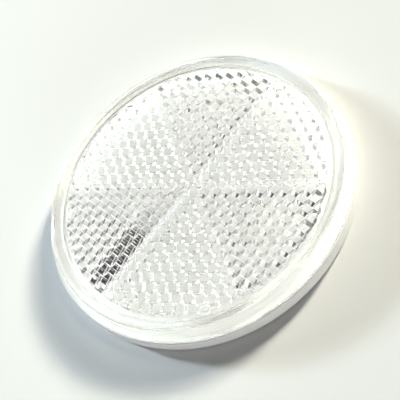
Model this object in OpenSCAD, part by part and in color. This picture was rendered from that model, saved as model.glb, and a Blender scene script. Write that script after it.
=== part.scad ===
// Round stick-on reflector. A clear moulded lens with a field of cube-corner prisms
// on its back closes a shallow white back plate, which sticks on by a foam pad.
// Millimetres. Z up, the lens looks up, and z = 0 is the face that sticks on.

/* [Overall] */
// Diameter over the rim of the back plate
plate_d = 60; // [59.6:0.1:61]
// Height from the sticking face to the front of the lens
total_h = 6.4; // [6.2:0.1:7]

/* [Prism field] */
// Distance between the axes of neighbouring cube corners
pitch = 2.22; // [2.1:0.02:2.3]
// Radius of the round field that the prisms fill
field_r = 25.5; // [24:0.1:25.6]
// Clear thickness between the front and the highest prism corners
front_t = 1.6; // [1.5:0.1:1.8]

/* [Lens rim] */
// Diameter over the lip of the lens
lip_d = 59.6; // [58.8:0.1:59.8]
// Thickness of the lip
lip_t = 0.5; // [0.4:0.05:0.7]
// Radius of the lens wall where it meets the lip
wall_r = 28.8; // [28.6:0.05:28.85]
// How far the lens wall leans in from the lip to the front
wall_draft = 0.2; // [0.1:0.05:0.4]
// How far the skirt leans in from the lip to its foot
foot_draft = 0.1; // [0.05:0.05:0.2]
// Radius of the rounded front edge
edge_r = 1.1; // [0.8:0.1:1.3]
// Radius of the inside of the skirt, level with the prisms
skirt_in_r = 26.6; // [26.2:0.1:26.8]
// Thickness at the foot of the skirt
skirt_foot_t = 1.7; // [1.4:0.1:1.8]
// Depth of the flat that the moulding gate leaves on the lip
gate_depth = 0.15; // [0.05:0.05:0.25]
// Direction of the gate flat, counted from +X
gate_angle = -50; // [-180:5:180]

/* [Back plate] */
// Height of the outer wall of the back plate
plate_h = 2.6; // [2.4:0.1:2.8]
// Thickness of the floor that the skirt stands on
plate_floor_t = 1.5; // [1.4:0.1:1.6]
// Gap left between the wall and the skirt
weld_gap = 0.1; // [0.05:0.05:0.15]
// Gap left under the lip once the skirt is welded down
lip_gap = 0.05; // [0.05:0.01:0.1]

/* [Adhesive pad] */
// Diameter of the foam pad
pad_d = 49; // [40:1:50]
// Thickness of the foam pad
pad_t = 1; // [0.9:0.1:1.1]
// How far the pad stands out of its recess
pad_proud = 0.3; // [0.2:0.1:0.4]
// Gap left round the pad in its recess
pad_gap = 0.5; // [0.3:0.1:0.8]

/* [Hidden] */

plate_r = plate_d / 2;
lip_r = lip_d / 2;
plate_z = pad_proud;
floor_z = plate_z + plate_floor_t;
rim_z = plate_z + plate_h;
lip_z = rim_z + lip_gap;
valley_z = total_h - front_t;
// Height of one step of the cube corners: two steps from the apex to the far corner
step_h = pitch / sqrt(6);
apex_z = valley_z - 2 * step_h;
recess_r = pad_d / 2 + pad_gap;
// Small radii of the moulds: on most corners, and on the two thin lips
corner_r = 0.3;
lip_round = 0.2;
// How far the block of prisms runs up into the clear thickness that it is joined to
join_depth = 0.3;
// How far a cutter runs past what it cuts
cut_over = 1;
// Fineness of a small round and of a full circle
round_steps = 6;
facets = 144;

// Points along a round stretch of an outline, from angle a to angle b
function round_corner(x, z, r, a, b) =
    [for (i = [0 : round_steps])
        let (t = a + (b - a) * i / round_steps) [x + r * cos(t), z + r * sin(t)]];

// The prism field. Its corners lie on a grid of triangles six times finer than the
// prisms, so each is a pair of whole numbers [u, v] along axes 60 degrees apart.
// A third number gives its height in steps above the apex.
function grid_point(c, z) =
    [pitch / 6 * (c[0] + c[1] / 2), pitch / 6 * c[1] * sqrt(3) / 2, z];

// A corner turned about the middle by k times 60 degrees
function turned(c, k) = k == 0 ? c : turned([-c[1], c[0] + c[1], c[2]], k - 1);

// The three square faces of one cube corner. Prisms on the two borders of their
// sector are cut in half there, and meet their mirror image in the next sector.
function cube_faces(i, j) = [
    [[0, 0, 0], j > 0 ? [4, -2, 1] : [3, 0, 1.5], [2, 2, 2], i > 0 ? [-2, 4, 1] : [0, 3, 1.5]],
    if (i > 0)
        [[0, 0, 0], [-2, 4, 1], [-4, 2, 2], j > 0 ? [-2, -2, 1] : [-3, 0, 1.5]],
    if (j > 0)
        [[0, 0, 0], i > 0 ? [-2, -2, 1] : [0, -3, 1.5], [2, -4, 2], [4, -2, 1]]
];

// One face moved to its prism, and turned to sector k
function placed(face, i, j, k) = [for (c = face) turned(c + [6 * i, 6 * j, 0], k)];

module prism_block(rings, top_z) {
    cells = [for (k = [0 : 5], i = [0 : rings], j = [0 : rings - i]) [i, j, k]];
    faces = [for (c = cells, f = cube_faces(c[0], c[1])) placed(f, c[0], c[1], c[2])];
    rim = [for (c = cells) if (c[0] + c[1] == rings)
        placed(cube_faces(c[0], c[1])[0], c[0], c[1], c[2])];
    function low(c) = grid_point(c, apex_z + c[2] * step_h);
    function high(c) = grid_point(c, top_z);
    quads = concat(
        [for (f = faces) [for (c = f) low(c)]],
        [for (f = faces) [for (n = [3 : -1 : 0]) high(f[n])]],
        [for (f = rim, n = [1, 2]) [low(f[n + 1]), low(f[n]), high(f[n]), high(f[n + 1])]]);
    polyhedron(
        points = [for (q = quads) each q],
        faces = [for (q = [0 : len(quads) - 1]) [for (n = [0 : 3]) 4 * q + n]]);
}

module prism_field() {
    rings = ceil((field_r / pitch - cos(60) / sqrt(3)) / cos(30));
    intersection() {
        prism_block(rings, valley_z + join_depth);
        translate([0, 0, apex_z - cut_over])
            cylinder(r = field_r, h = valley_z + join_depth - apex_z + 2 * cut_over, $fn = facets);
    }
}

module lens_body() {
    wall_top = total_h - edge_r;
    wall_top_r = wall_r - wall_draft;
    foot_r = wall_r - foot_draft;
    rotate_extrude($fn = facets)
        polygon(concat(
            [[0, valley_z], [0, total_h]],
            round_corner(wall_top_r - edge_r, wall_top, edge_r, 90, 0),
            round_corner(wall_r + lip_round, lip_z + lip_t + lip_round, lip_round, 180, 270),
            round_corner(lip_r - lip_round, lip_z + lip_t - lip_round, lip_round, 90, 0),
            [[lip_r, lip_z], [wall_r, lip_z], [foot_r, floor_z], [foot_r - skirt_foot_t, floor_z]],
            round_corner(skirt_in_r - corner_r, valley_z - corner_r, corner_r, 0, 90)));
}

module lens() color([0.86, 0.9, 0.88, 0.6])
    difference() {
        union() {
            lens_body();
            prism_field();
        }
        rotate([0, 0, gate_angle])
            translate([lip_r - gate_depth, -lip_r / 2, lip_z - cut_over])
                cube([gate_depth + cut_over, lip_r, lip_t + 2 * cut_over]);
    }

module back_plate() color([0.95, 0.95, 0.93])
    rotate_extrude($fn = facets)
        polygon(concat(
            [[0, pad_t], [0, floor_z], [wall_r + weld_gap, floor_z],
                [wall_r + weld_gap, rim_z]],
            round_corner(plate_r - lip_round, rim_z - lip_round, lip_round, 90, 0),
            round_corner(plate_r - corner_r, plate_z + corner_r, corner_r, 0, -90),
            [[recess_r, plate_z], [recess_r, pad_t]]));

module adhesive_pad() color([0.85, 0.85, 0.82])
    cylinder(d = pad_d, h = pad_t, $fn = facets);

back_plate();
lens();
adhesive_pad();
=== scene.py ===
# %% [markdown]
# A round reflector, built from real optics. The lens is one clear moulding whose back is
# covered with cube corners: sets of three faces at right angles, each of which sends light
# back to where it came from. Nothing is painted on. The light and dark sectors come from the
# shape of the prisms, the refractive index of the plastic, and the room that they mirror.

# %% Frame
from math import atan, cos, pi, radians, sin, sqrt

import bmesh
import bpy
from mathutils import Matrix, Vector


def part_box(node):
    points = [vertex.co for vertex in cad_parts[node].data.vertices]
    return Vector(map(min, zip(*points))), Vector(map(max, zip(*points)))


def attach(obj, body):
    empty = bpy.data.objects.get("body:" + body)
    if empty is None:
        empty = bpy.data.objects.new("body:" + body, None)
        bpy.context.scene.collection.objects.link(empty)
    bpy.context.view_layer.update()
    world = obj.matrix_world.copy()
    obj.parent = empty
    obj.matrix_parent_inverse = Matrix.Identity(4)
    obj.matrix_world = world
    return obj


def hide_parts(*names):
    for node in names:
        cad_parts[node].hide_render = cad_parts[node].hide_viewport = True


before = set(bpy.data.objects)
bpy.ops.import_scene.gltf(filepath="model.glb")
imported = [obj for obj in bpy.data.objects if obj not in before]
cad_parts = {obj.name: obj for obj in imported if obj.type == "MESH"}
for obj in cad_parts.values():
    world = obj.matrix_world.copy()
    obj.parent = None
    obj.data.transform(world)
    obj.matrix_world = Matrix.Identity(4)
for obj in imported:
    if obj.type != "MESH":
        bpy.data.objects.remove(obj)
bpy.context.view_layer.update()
plate_low, plate_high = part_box("back_plate")
lens_low, lens_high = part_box("lens")
pad_low, pad_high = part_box("adhesive_pad")

# %% [markdown]
# All sizes are in metres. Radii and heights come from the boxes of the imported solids, so
# this model follows them. Only what a box can't tell, such as the pitch of the prisms or
# the width of a rounded edge, is written here as a size of its own.

# %% Sizes
MM = 0.001
PITCH = 2.22 * MM
FIELD_R = 25.5 * MM
FRONT_T = 1.6 * MM
LIP_T = 0.5 * MM
EDGE_R = 1.1 * MM
WALL_R = 28.8 * MM
WALL_DRAFT = 0.2 * MM
SKIRT_IN_R = 26.6 * MM
SKIRT_FOOT_T = 1.7 * MM
FOOT_LEAN = 0.1 * MM
PRISM_EDGE = 0.05 * MM
SMALL_R = 0.2 * MM
CORNER_R = 0.3 * MM
GATE_DEPTH = 0.15 * MM
GATE_ANGLE = radians(-50)
LIP_GAP = 0.05 * MM
SPIN_STEPS = 256

front_z = lens_high.z
lip_r = lens_high.x
lip_z = plate_high.z + LIP_GAP
floor_z = lens_low.z
valley_z = front_z - FRONT_T
step_h = PITCH / sqrt(6)
apex_z = valley_z - 2 * step_h
print("front of the lens:", round(front_z / MM, 2), "mm, prism tips:", round(apex_z / MM, 2), "mm")

# %% [markdown]
# Every turned piece starts as the outline of half its section. The outline is spun about
# the Z axis with sharp corners, and then the rings that are round on the real piece are
# bevelled. That keeps the outline down to the points that matter.

# %% Spinning an outline
def spin_outline(points):
    bm = bmesh.new()
    verts = [bm.verts.new((r, 0, z)) for r, z in points]
    edges = [bm.edges.new(pair) for pair in zip(verts, verts[1:])]
    bmesh.ops.spin(bm, geom=verts + edges, cent=(0, 0, 0), axis=(0, 0, 1), angle=2 * pi,
                   steps=SPIN_STEPS, use_merge=True, use_duplicate=False)
    bmesh.ops.remove_doubles(bm, verts=bm.verts, dist=0.002 * MM)
    bmesh.ops.recalc_face_normals(bm, faces=bm.faces)
    return bm


def ring_edges(bm, radius, height):
    def on_ring(v):
        return abs(v.co.xy.length - radius) < 0.01 * MM and abs(v.co.z - height) < 0.01 * MM
    return [e for e in bm.edges if all(on_ring(v) for v in e.verts)]


def round_ring(bm, radius, height, size, segments):
    ring = ring_edges(bm, radius, height)
    bmesh.ops.bevel(bm, geom=ring, offset=size, offset_type="OFFSET", segments=segments,
                    profile=0.5, affect="EDGES", material=-1)


def smooth_by_angle(mesh, limit=radians(28)):
    bm = bmesh.new()
    bm.from_mesh(mesh)
    for face in bm.faces:
        face.smooth = True
    for edge in bm.edges:
        edge.smooth = edge.is_manifold and edge.calc_face_angle(0) < limit
    bm.to_mesh(mesh)
    bm.free()


def piece_from(bm, name):
    mesh = bpy.data.meshes.new(name)
    bm.to_mesh(mesh)
    bm.free()
    smooth_by_angle(mesh)
    piece = bpy.data.objects.new(name, mesh)
    bpy.context.scene.collection.objects.link(piece)
    return piece

# %% [markdown]
# A cube corner is the corner of a cube, so that is what it is made from. A cube is stood
# on one corner, and the three faces that meet there are kept. From above it is a hexagon
# of three equal diamonds, and copies of it fill a plane like a honeycomb.

# %% One cube corner
def cube_corner():
    bm = bmesh.new()
    edge = PITCH / sqrt(2)
    bmesh.ops.create_cube(bm, size=edge)
    bmesh.ops.translate(bm, verts=bm.verts, vec=(edge / 2, edge / 2, edge / 2))
    upper = [f for f in bm.faces if f.calc_center_median().length > edge]
    bmesh.ops.delete(bm, geom=upper, context="FACES")
    stand = (Matrix.Rotation(radians(30), 3, "Z") @ Matrix.Rotation(-atan(sqrt(2)), 3, "Y")
             @ Matrix.Rotation(radians(-45), 3, "Z"))
    bmesh.ops.rotate(bm, verts=bm.verts, cent=(0, 0, 0), matrix=stand)
    return bm


corner = cube_corner()
print("one cube corner:", len(corner.faces), "faces,",
      round(max(v.co.z for v in corner.verts) / MM, 3), "mm deep")

# %% [markdown]
# The lens has six sectors. In each the honeycomb is the mirror image of its neighbours',
# so the prisms on a border are cut and meet their mirror image there. The middle of the
# field is not the axis of a prism but the middle of one of its faces, so the honeycomb is
# moved inward by that much. One sector is laid out, trimmed along its two borders, and
# spun six times. Real prism edges are never knife sharp, so a hair-thin bevel goes on all
# of them, which helps to draw the pale lattice. Its width is a guess.

# %% One sector, spun into the whole field
ring_count = int(FIELD_R / PITCH / cos(radians(30))) + 1
along = Vector((PITCH, 0, 0))
across = Vector((PITCH / 2, PITCH * sqrt(3) / 2, 0))
inward = -(along + across) / 6


def sector(bm):
    seed = bm.verts[:] + bm.edges[:] + bm.faces[:]
    for i in range(ring_count + 1):
        for j in range(ring_count + 1 - i):
            if i + j:
                copy = bmesh.ops.duplicate(bm, geom=seed)["geom"]
                moved = [v for v in copy if isinstance(v, bmesh.types.BMVert)]
                bmesh.ops.translate(bm, verts=moved, vec=i * along + j * across)
    bmesh.ops.remove_doubles(bm, verts=bm.verts, dist=0.001 * MM)
    bmesh.ops.translate(bm, verts=bm.verts, vec=inward)
    for out in (Vector((0, -1, 0)), Vector((-sin(radians(60)), cos(radians(60)), 0))):
        bmesh.ops.bisect_plane(bm, geom=bm.verts[:] + bm.edges[:] + bm.faces[:],
                               dist=0.0005 * MM, plane_co=(0, 0, 0), plane_no=out,
                               clear_outer=True)


sector(corner)
bmesh.ops.spin(corner, geom=corner.verts[:] + corner.edges[:] + corner.faces[:],
               cent=(0, 0, 0), axis=(0, 0, 1), angle=2 * pi * 5 / 6, steps=5,
               use_duplicate=True)
bmesh.ops.remove_doubles(corner, verts=corner.verts, dist=0.001 * MM)
bmesh.ops.translate(corner, verts=corner.verts, vec=(0, 0, apex_z))
sharp = [e for e in corner.edges if e.is_manifold and e.calc_face_angle(0) > radians(20)]
bmesh.ops.bevel(corner, geom=sharp, offset=PRISM_EDGE, offset_type="OFFSET", segments=1,
                profile=0.5, affect="EDGES", material=-1)
print("prism field:", len(corner.faces), "faces")

# %% [markdown]
# The open honeycomb becomes a solid block: its outer edge is pulled straight up into the
# thickness of the lens and closed. A round cutter trims it, and it is joined to the spun
# body. The joins are exact, because light that crosses a stray inner face would bend there.

# %% Field block
rim = [e for e in corner.edges if e.is_boundary]
walls = bmesh.ops.extrude_edge_only(corner, edges=rim)["geom"]
top = [v for v in walls if isinstance(v, bmesh.types.BMVert)]
SINK = 0.4 * MM
for v in top:
    v.co.z = valley_z + SINK
lid = [e for e in walls if isinstance(e, bmesh.types.BMEdge)]
bmesh.ops.contextual_create(corner, geom=lid)
bmesh.ops.recalc_face_normals(corner, faces=corner.faces)
field = piece_from(corner, "field_block")
print("field block:", len(field.data.polygons), "faces")

# %% Exact joins and cuts
def apply_boolean(piece, tool, operation):
    join = piece.modifiers.new("join", "BOOLEAN")
    join.object = tool
    join.operation = operation
    join.solver = "EXACT"
    ready = piece.evaluated_get(bpy.context.evaluated_depsgraph_get())
    mesh = bpy.data.meshes.new_from_object(ready)
    piece.modifiers.clear()
    piece.data = mesh
    bpy.data.objects.remove(tool)
    print(piece.name, operation.lower(), "->", len(mesh.polygons), "faces")


def round_cutter(radius, low, high):
    bm = bmesh.new()
    bmesh.ops.create_cone(bm, cap_ends=True, segments=SPIN_STEPS, radius1=radius,
                          radius2=radius, depth=high - low)
    bmesh.ops.translate(bm, verts=bm.verts, vec=(0, 0, (low + high) / 2))
    return piece_from(bm, "cutter")


apply_boolean(field, round_cutter(FIELD_R, apex_z - MM, front_z), "INTERSECT")

# %% Lens body
wall_foot_z = lip_z + LIP_T
skirt_out_r = WALL_R - FOOT_LEAN
WELD_DEPTH = 0.05 * MM
foot_z = floor_z - WELD_DEPTH
body = spin_outline([
    (0, front_z), (WALL_R - WALL_DRAFT, front_z), (WALL_R, wall_foot_z),
    (lip_r, wall_foot_z), (lip_r, lip_z), (WALL_R, lip_z), (skirt_out_r, foot_z),
    (skirt_out_r - SKIRT_FOOT_T, foot_z), (SKIRT_IN_R, valley_z), (0, valley_z)])
round_ring(body, WALL_R - WALL_DRAFT, front_z, EDGE_R, 10)
round_ring(body, WALL_R, wall_foot_z, SMALL_R, 4)
round_ring(body, lip_r, wall_foot_z, SMALL_R, 4)
round_ring(body, SKIRT_IN_R, valley_z, CORNER_R, 5)
lens = piece_from(body, "clear_lens")
apply_boolean(lens, field, "UNION")

# %% Gate flat
gate = bmesh.new()
bmesh.ops.create_cube(gate, size=1)
bmesh.ops.scale(gate, verts=gate.verts, vec=(2 * MM, lip_r, 2 * LIP_T))
bmesh.ops.translate(gate, verts=gate.verts,
                    vec=(lip_r - GATE_DEPTH + MM, 0, lip_z + LIP_T / 2))
bmesh.ops.rotate(gate, verts=gate.verts, cent=(0, 0, 0),
                 matrix=Matrix.Rotation(GATE_ANGLE, 3, "Z"))
apply_boolean(lens, piece_from(gate, "gate_cutter"), "DIFFERENCE")
smooth_by_angle(lens.data)

# %% Back plate
WELD_GAP = 0.1 * MM
recess_r = pad_high.x + 0.5 * MM
plate_r = plate_high.x
plate = spin_outline([
    (0, floor_z), (WALL_R + WELD_GAP, floor_z),
    (WALL_R + WELD_GAP, plate_high.z), (plate_r, plate_high.z), (plate_r, plate_low.z),
    (recess_r, plate_low.z), (recess_r, pad_high.z), (0, pad_high.z)])
round_ring(plate, plate_r, plate_high.z, SMALL_R, 4)
round_ring(plate, plate_r, plate_low.z, CORNER_R, 5)
back = piece_from(plate, "white_back_plate")

# %% Foam pad
pad_bm = spin_outline([(0, pad_low.z), (pad_high.x, pad_low.z), (pad_high.x, pad_high.z),
                       (0, pad_high.z)])
pad = piece_from(pad_bm, "foam_pad")

# %% [markdown]
# Shader maths is easier to read as sums than as boxes and wires. A small class wraps an
# output socket, so that adding or multiplying two of them adds the Math node.

# %% Materials, the tools
class Wire:
    def __init__(self, kit, socket):
        self.kit, self.socket = kit, socket

    def maths(self, operation, other):
        return self.kit.node("ShaderNodeMath", {"operation": operation}, {0: self, 1: other})

    def __add__(self, other):
        return self.maths("ADD", other)

    def __mul__(self, other):
        return self.maths("MULTIPLY", other)

    __radd__, __rmul__ = __add__, __mul__


class Kit:
    def __init__(self, name, world=False):
        owner = bpy.data.worlds.new(name) if world else bpy.data.materials.new(name)
        owner.use_nodes = True
        self.owner, self.tree = owner, owner.node_tree
        self.tree.nodes.clear()

    def node(self, kind, settings=None, inputs=None, output=0):
        made = self.tree.nodes.new(kind)
        for key, value in (settings or {}).items():
            setattr(made, key, value)
        for key, value in (inputs or {}).items():
            if isinstance(value, Wire):
                self.tree.links.new(value.socket, made.inputs[key])
            else:
                made.inputs[key].default_value = value
        return Wire(self, made.outputs[output])

    def blend(self, factor, first, second):
        colour_a, colour_b = 6, 7
        return self.node("ShaderNodeMix", {"data_type": "RGBA"}, {
            "Factor": factor, colour_a: (*first, 1), colour_b: (*second, 1)}, output=2)

    def finish(self, shader, kind="ShaderNodeOutputMaterial"):
        last = self.tree.nodes.new(kind)
        self.tree.links.new(shader.socket, last.inputs["Surface"])
        return self.owner


# %% [markdown]
# The clear plastic is plain refraction. Its index is a fitted value: acrylic has about 1.49, and
# 1.508 is where the dark band ends as it does in the picture. Over the prisms it stays perfectly
# smooth. Outside them it has the faint scuffs and the slight tint of a handled rim. Light that a
# lamp sends through glass isn't traced, so for shadow rays alone the smooth rim counts as partly
# open. The prisms stay closed, since they send light back. How open the rim is was set as a given
# value.

# %% Clear acrylic
LENS_IOR = 1.508
RIM_SHARE = 0.65


def clear_acrylic():
    kit = Kit("clear_acrylic")
    place = kit.node("ShaderNodeTexCoord", output="Object")
    flat = kit.node("ShaderNodeVectorMath", {"operation": "MULTIPLY"}, {0: place, 1: (1, 1, 0)})
    radius = kit.node("ShaderNodeVectorMath", {"operation": "LENGTH"}, {0: flat}, output="Value")
    outside = kit.node("ShaderNodeMapRange", None, {
        "Value": radius, "From Min": FIELD_R - 0.2 * MM, "From Max": FIELD_R + 0.2 * MM})
    tint = kit.blend(outside, (0.995, 0.998, 0.993), (0.997, 0.999, 0.985))
    haze = kit.node("ShaderNodeTexNoise", None, {"Vector": place, "Scale": 900.0, "Detail": 3.0})
    scuff = kit.node("ShaderNodeMapRange", None, {
        "Value": haze, "From Min": 0.5, "From Max": 0.7, "To Min": 0.0, "To Max": 0.05})
    glass = kit.node("ShaderNodeBsdfPrincipled", None, {
        "Base Color": tint, "Roughness": scuff * outside, "IOR": LENS_IOR,
        "Transmission Weight": 1.0})
    lamp_ray = kit.node("ShaderNodeLightPath", output="Is Shadow Ray")
    open_air = kit.node("ShaderNodeBsdfTransparent", None, {"Color": (1, 1, 1, 1)})
    share = lamp_ray * (RIM_SHARE * outside)
    mixed = kit.node("ShaderNodeMixShader", None, {0: share, 1: glass, 2: open_air})
    return kit.finish(mixed)

# %% [markdown]
# The white plastic has a fine moulded grain and slow, faint changes of colour and gloss.
# The foam is matt, with small cells that show both as a bump and as a change of tone.

# %% White plastic and foam
def white_plastic():
    kit = Kit("white_plastic")
    place = kit.node("ShaderNodeTexCoord", output="Object")
    grain = kit.node("ShaderNodeTexNoise", None, {"Vector": place, "Scale": 9000.0, "Detail": 2.0})
    bump = kit.node("ShaderNodeBump", None, {
        "Strength": 0.15, "Distance": 0.02 * MM, "Height": grain})
    cloud = kit.node("ShaderNodeTexNoise", None, {"Vector": place, "Scale": 160.0, "Detail": 4.0})
    colour = kit.blend(cloud, (0.945, 0.945, 0.93), (0.915, 0.915, 0.89))
    return kit.finish(kit.node("ShaderNodeBsdfPrincipled", None, {
        "Base Color": colour, "Roughness": 0.3 + 0.15 * cloud, "Normal": bump}))


def foam():
    kit = Kit("closed_cell_foam")
    place = kit.node("ShaderNodeTexCoord", output="Object")
    cells = kit.node("ShaderNodeTexVoronoi", None, {"Vector": place, "Scale": 4000.0})
    bump = kit.node("ShaderNodeBump", None, {
        "Strength": 0.4, "Distance": 0.1 * MM, "Height": cells})
    colour = kit.blend(cells, (0.80, 0.80, 0.76), (0.72, 0.72, 0.68))
    return kit.finish(kit.node("ShaderNodeBsdfPrincipled", None, {
        "Base Color": colour, "Roughness": 0.85, "Normal": bump}))


# %% Pieces take their materials
for piece, material, node, slot in (
        (lens, clear_acrylic(), "lens", "clear_plastic"),
        (back, white_plastic(), "back_plate", "white_plastic"),
        (pad, foam(), "adhesive_pad", "pad_foam")):
    piece.data.materials.clear()
    piece.data.materials.append(material)
    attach(piece, "root")
    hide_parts(node)
    print(piece.name, len(piece.data.polygons), "faces")

# %% [markdown]
# The floor is plain pale paper. Its colour is painted brighter at the lower left of the picture
# and darker towards the upper right, as a painted fall-off of the light. Otherwise it only carries
# the object's shadows and belongs to the stage, not to the part.

# %% Floor
floor_bm = bmesh.new()
bmesh.ops.create_grid(floor_bm, x_segments=1, y_segments=1, size=2.0)
floor = piece_from(floor_bm, "floor")
floor_kit = Kit("floor_white")
spot = floor_kit.node("ShaderNodeTexCoord", output="Object")
across_view = floor_kit.node("ShaderNodeVectorMath", {"operation": "DOT_PRODUCT"},
                             {0: spot, 1: (0.5, 0.5, 0)}, output="Value")
# Painted fall-off of the light: the paper's colour runs from 0.98 at the lower left to 0.82 at the
# upper right.
painted_falloff = floor_kit.node("ShaderNodeMapRange", None, {
    "Value": across_view, "From Min": -40 * MM, "From Max": 40 * MM,
    "To Min": 0.98, "To Max": 0.82})
floor_colour_with_painted_falloff = floor_kit.node("ShaderNodeCombineColor", None, {0: painted_falloff, 1: painted_falloff, 2: painted_falloff})
floor.data.materials.append(floor_kit.finish(floor_kit.node("ShaderNodeBsdfPrincipled", None, {
    "Base Color": floor_colour_with_painted_falloff, "Roughness": 0.7})))
print("floor:", len(floor.data.polygons), "face")

# %% [markdown]
# The camera was fitted to the outline of the rim and to the lattice of the prisms. Its
# place is counted in prism pitches from the underside of the plate, because the pitch is
# what can be counted in a picture.

# %% Camera
FOCAL_PX = 1050.2
PHOTO_PX = 400
SENSOR_MM = 36
EYE_IN_PITCHES = Vector((36.14, -38.95, 2.11 + 67.99))
LOOK = Vector((-0.412, 0.441, -0.797)).normalized()
ROLL = radians(37.4)
camera_data = bpy.data.cameras.new("camera")
camera_data.sensor_width = SENSOR_MM
camera_data.lens = FOCAL_PX / PHOTO_PX * camera_data.sensor_width
camera = bpy.data.objects.new("camera", camera_data)
bpy.context.scene.collection.objects.link(camera)
eye = EYE_IN_PITCHES * PITCH + Vector((0, 0, plate_low.z))
right = LOOK.cross(Vector((0, 0, 1))).normalized()
upward = right.cross(LOOK)
right, upward = right * cos(ROLL) - upward * sin(ROLL), upward * cos(ROLL) + right * sin(ROLL)
camera.matrix_world = Matrix.Translation(eye) @ Matrix(
    (right, upward, -LOOK)).transposed().to_4x4()
bpy.context.scene.camera = camera
print("camera at", [round(v, 3) for v in eye], "lens", round(camera_data.lens, 1), "mm")

# %% [markdown]
# Two round lamps throw the two shadows: a cool window from one side and a stronger, warmer
# room lamp from behind. A wide, weak fill lights the wall of the plate that faces the
# viewer. The lamps are hidden from rays that have gone through the lens, because a small
# bright lamp mirrored by hundreds of prisms would only make noise.

# %% Lights
def lamp(name, azimuth, elevation, distance, size, power, colour):
    data = bpy.data.lights.new(name, "AREA")
    data.shape = "DISK"
    data.size, data.energy, data.color = size, power, colour
    place = Vector((cos(elevation) * cos(azimuth), cos(elevation) * sin(azimuth),
                    sin(elevation))) * distance
    item = bpy.data.objects.new(name, data)
    item.location = place
    item.rotation_euler = place.to_track_quat("Z", "Y").to_euler()
    item.visible_transmission = False
    bpy.context.scene.collection.objects.link(item)
    print(name, power, "W from azimuth", round(azimuth * 180 / pi))


lamp("window", radians(165), radians(20), 1.0, 0.10, 8.2, (0.76, 0.91, 1.0))
lamp("room_lamp", radians(64), radians(27), 1.0, 0.15, 14.2, (1.0, 0.98, 0.83))
lamp("fill", radians(300), radians(8), 1.0, 0.35, 3.0, (1.0, 1.0, 1.0))

# %% [markdown]
# What a reflector looks like is what its prisms mirror. So rays that come by way of the
# lens see a room with one bright side and three dark regions. That room is made up. A
# search placed the regions so that the prism field got about as light and dark as in the
# picture, and their names only say what might stand there. Other rays see a weak, even
# glow, and the camera sees white.

# %% World
world_kit = Kit("room", world=True)
sky = world_kit.node("ShaderNodeTexCoord", output="Generated")


def patch(azimuth, elevation, inner, outer, level):
    way = (cos(radians(elevation)) * cos(radians(azimuth)),
           cos(radians(elevation)) * sin(radians(azimuth)), sin(radians(elevation)))
    towards = world_kit.node("ShaderNodeVectorMath", {"operation": "DOT_PRODUCT"},
                             {0: sky, 1: way}, output="Value")
    return world_kit.node("ShaderNodeMapRange", {"interpolation_type": "SMOOTHSTEP"}, {
        "Value": towards, "From Min": cos(radians(outer)), "From Max": cos(radians(inner)),
        "To Min": 1.0, "To Max": level})


windows = 0.9 * patch(198, 45, 21, 64, 2.5)
viewer = patch(312, 70, 19, 26, 0.02)
doorway = patch(128, 48, 18, 26, 0.02)
dark_wall = patch(31, 0, 35, 63, 0.02)
shade = windows * viewer * doorway * dark_wall
path = world_kit.node("ShaderNodeLightPath", output="Is Camera Ray")
glossy = world_kit.node("ShaderNodeLightPath", output="Is Glossy Ray")
through = world_kit.node("ShaderNodeLightPath", output="Is Transmission Ray")
seen = world_kit.node("ShaderNodeMath", {"operation": "MAXIMUM"}, {0: glossy, 1: through})
plain = world_kit.node("ShaderNodeBackground", None, {"Color": (1, 1, 1, 1), "Strength": 0.03})
mirror = world_kit.node("ShaderNodeBackground", None, {"Color": (1, 1, 1, 1), "Strength": shade})
white = world_kit.node("ShaderNodeBackground", None, {"Color": (1, 1, 1, 1), "Strength": 1.0})
world_mix = world_kit.node("ShaderNodeMixShader", None, {0: seen, 1: plain, 2: mirror})
world_mix = world_kit.node("ShaderNodeMixShader", None, {0: path, 1: world_mix, 2: white})
bpy.context.scene.world = world_kit.finish(world_mix, "ShaderNodeOutputWorld")
bpy.context.scene.view_settings.view_transform = "Standard"
print("world:", len(world_kit.tree.nodes), "nodes")

# %% [markdown]
# A ray can bounce many times between the three faces of a prism, the front of the lens and
# the white plate before it gets out. With the usual limits it would end too soon, in black.

# %% Bounce limits
cycles = bpy.context.scene.cycles
cycles.max_bounces = 32
cycles.glossy_bounces = 24
cycles.transmission_bounces = 24
cycles.transparent_max_bounces = 24
